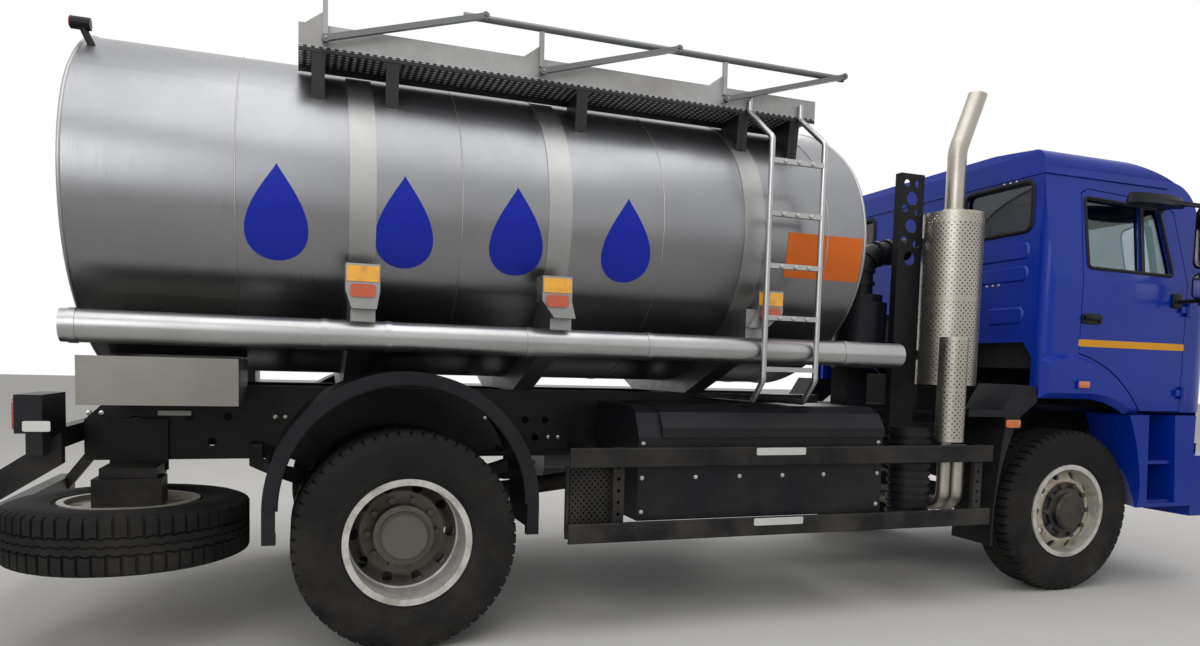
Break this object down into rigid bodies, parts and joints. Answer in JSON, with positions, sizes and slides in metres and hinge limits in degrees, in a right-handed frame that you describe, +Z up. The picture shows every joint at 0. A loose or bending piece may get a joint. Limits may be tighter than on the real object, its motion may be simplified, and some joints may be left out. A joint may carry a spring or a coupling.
{
  "type": "tanker truck",
  "caption": "Water tanker truck with a cab over the engine, an oval steel tank, a roof catwalk with a folding hand rail, and an upright exhaust.",
  "frame": {"origin": "on the ground under the middle of the whole length and width", "axes": "+X forward, +Y to the vehicle's left, +Z up"},
  "size_m": [7.5153, 3, 3.1375],
  "materials": {
    "chassis_black": "satin",
    "stainless": "brushed",
    "steel_grey": "brushed",
    "cab_blue": "gloss",
    "wheel_silver": "satin",
    "iron_dark": "rough",
    "tyre": "matte",
    "plastic_black": "matte",
    "lamp_amber": "gloss",
    "lamp_red": "gloss",
    "lamp_clear": "gloss",
    "window_glass": "gloss",
    "trim_dark": "matte"
  },
  "bodies": {
    "chassis": {"frame_rails": "chassis_black", "subframe": "chassis_black", "tank_shell": "stainless", "tank_bands": "stainless", "tank_supports": "stainless", "side_lamps": "lamp_amber", "hose_tubes": "stainless", "catwalk": "steel_grey", "ladder": "stainless", "manhole_neck": "stainless", "storage_boxes": "stainless", "mudguards": "plastic_black", "side_guards": "chassis_black", "battery_box": "plastic_black", "fuel_tank": "steel_grey", "exhaust": "steel_grey", "exhaust_guards": "stainless", "stack_frame": "chassis_black", "air_cleaner": "plastic_black", "front_axle": "iron_dark", "rear_axle": "iron_dark", "driveline": "iron_dark", "spare_tyre": "tyre", "spare_wheel": "wheel_silver", "spare_carrier": "chassis_black", "underrun": "chassis_black", "tail_lamps": "plastic_black", "front_bumper": "cab_blue", "step_units": "cab_blue", "headlamps": "lamp_clear"},
    "arm_rear": {"rail_arm_rear": "steel_grey"},
    "arm_mid": {"rail_arm_mid": "steel_grey"},
    "arm_front": {"rail_arm_front": "steel_grey"},
    "rail": {"hand_rail": "steel_grey"},
    "lid": {"manhole_lid": "stainless"},
    "cab": {"cab_roof": "cab_blue", "cab_rear_wall": "cab_blue", "cab_sides": "cab_blue", "cab_front": "cab_blue", "cab_floor": "trim_dark", "cab_fenders": "cab_blue", "cab_glass": "window_glass", "grille": "plastic_black", "cab_interior": "trim_dark"},
    "hub_right": {"knuckle_right": "iron_dark"},
    "front_wheel_right": {"tyre_front_right": "tyre", "wheel_front_right": "wheel_silver"},
    "rear_wheels_right": {"tyres_rear_right": "tyre", "wheels_rear_right": "wheel_silver"},
    "cab_door_right": {"door_right": "cab_blue", "door_glass_right": "window_glass", "door_mirrors_right": "plastic_black"},
    "hub_left": {"knuckle_left": "iron_dark"},
    "front_wheel_left": {"tyre_front_left": "tyre", "wheel_front_left": "wheel_silver"},
    "rear_wheels_left": {"tyres_rear_left": "tyre", "wheels_rear_left": "wheel_silver"},
    "cab_door_left": {"door_left": "cab_blue", "door_glass_left": "window_glass", "door_mirrors_left": "plastic_black"}
  },
  "joints": [
    {"name": "steer_left", "type": "hinge", "parent": "chassis", "child": "hub_left", "pos_m": [2.3925, 0.85, 0.522], "axis": [0, 0, 1], "range_deg": [-35, 35]},
    {"name": "front_spin_left", "type": "hinge", "parent": "hub_left", "child": "front_wheel_left", "pos_m": [2.3925, 1.021, 0.522], "axis": [0, 1, 0], "continuous": true},
    {"name": "rear_spin_left", "type": "hinge", "parent": "chassis", "child": "rear_wheels_left", "pos_m": [-1.8075, 0.945, 0.522], "axis": [0, 1, 0], "continuous": true},
    {"name": "steer_right", "type": "hinge", "parent": "chassis", "child": "hub_right", "pos_m": [2.3925, -0.85, 0.522], "axis": [0, 0, 1], "range_deg": [-35, 35]},
    {"name": "front_spin_right", "type": "hinge", "parent": "hub_right", "child": "front_wheel_right", "pos_m": [2.3925, -1.021, 0.522], "axis": [0, 1, 0], "continuous": true},
    {"name": "rear_spin_right", "type": "hinge", "parent": "chassis", "child": "rear_wheels_right", "pos_m": [-1.8075, -0.945, 0.522], "axis": [0, 1, 0], "continuous": true},
    {"name": "cab_tilt", "type": "hinge", "parent": "chassis", "child": "cab", "pos_m": [3.4825, 0, 1.01], "axis": [0, 1, 0], "range_deg": [0, 45]},
    {"name": "door_right_swing", "type": "hinge", "parent": "cab", "child": "cab_door_right", "pos_m": [3.2615, -1.218, 1.6], "axis": [0, 0, 1], "range_deg": [0, 70]},
    {"name": "door_left_swing", "type": "hinge", "parent": "cab", "child": "cab_door_left", "pos_m": [3.2615, 1.218, 1.6], "axis": [0, 0, -1], "range_deg": [0, 70]},
    {"name": "lid_lift", "type": "hinge", "parent": "chassis", "child": "lid", "pos_m": [-1.8385, 0, 3.05], "axis": [0, -1, 0], "range_deg": [0, 100]},
    {"name": "arm_rear_fold", "type": "hinge", "parent": "chassis", "child": "arm_rear", "pos_m": [-2.1805, -1.012, 2.836], "axis": [0, -1, 0], "range_deg": [0, 73.5]},
    {"name": "arm_mid_fold", "type": "hinge", "parent": "chassis", "child": "arm_mid", "pos_m": [-1.1455, -1.012, 2.836], "axis": [0, -1, 0], "range_deg": [0, 73.5]},
    {"name": "arm_front_fold", "type": "hinge", "parent": "chassis", "child": "arm_front", "pos_m": [-0.1105, -1.012, 2.836], "axis": [0, -1, 0], "range_deg": [0, 73.5]},
    {"name": "rail_level", "type": "hinge", "parent": "arm_rear", "child": "rail", "pos_m": [-1.4405, -1.012, 3.055], "axis": [0, -1, 0], "range_deg": [-73.5, 0]}
  ],
  "couplings": [
    {"joint": "steer_right", "follows": "steer_left", "ratio": 1},
    {"joint": "arm_mid_fold", "follows": "arm_rear_fold", "ratio": 1},
    {"joint": "arm_front_fold", "follows": "arm_rear_fold", "ratio": 1},
    {"joint": "rail_level", "follows": "arm_rear_fold", "ratio": -1}
  ]
}
